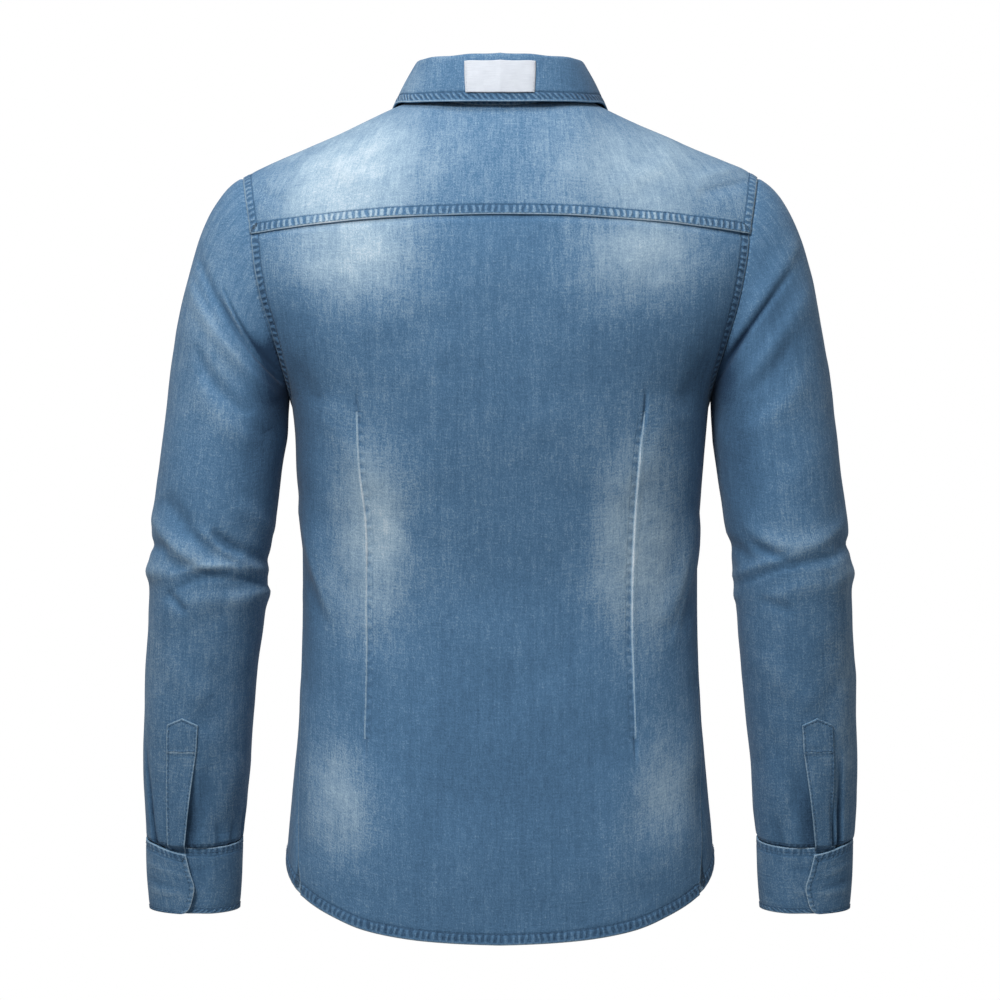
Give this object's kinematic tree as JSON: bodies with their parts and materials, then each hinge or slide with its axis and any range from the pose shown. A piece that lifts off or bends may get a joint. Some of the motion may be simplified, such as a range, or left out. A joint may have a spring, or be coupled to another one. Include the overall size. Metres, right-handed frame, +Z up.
{
  "type": "denim shirt",
  "caption": "Long-sleeved shirt with pointed collar, shoulder yoke, long back darts, buttoned front, lapped cuffs and curved hem, filled out in its worn form with no wearer.",
  "frame": {"origin": "middle of the neck opening, level with the points where the shoulder lines meet the collar", "axes": "+Z up, -Y the front of the shirt, +X the wearer's left"},
  "size_m": [0.6272, 0.2409, 0.7583],
  "materials": {
    "denim": "washed mid-blue denim with bleached areas, matt",
    "label": "bare white woven label",
    "buttons": "off-white horn effect"
  },
  "bodies": {
    "root": {"back": "denim", "yoke": "denim", "front_left": "denim", "front_right": "denim", "front_strip": "denim", "collar_stand": "denim", "collar_fall": "denim", "label": "label", "sleeve_left": "denim", "sleeve_right": "denim", "cuff_left": "denim", "cuff_right": "denim", "placket_left": "denim", "placket_right": "denim", "button_1": "buttons", "button_2": "buttons", "button_3": "buttons", "button_4": "buttons", "button_5": "buttons", "button_6": "buttons", "button_7": "buttons"}
  },
  "joints": []
}
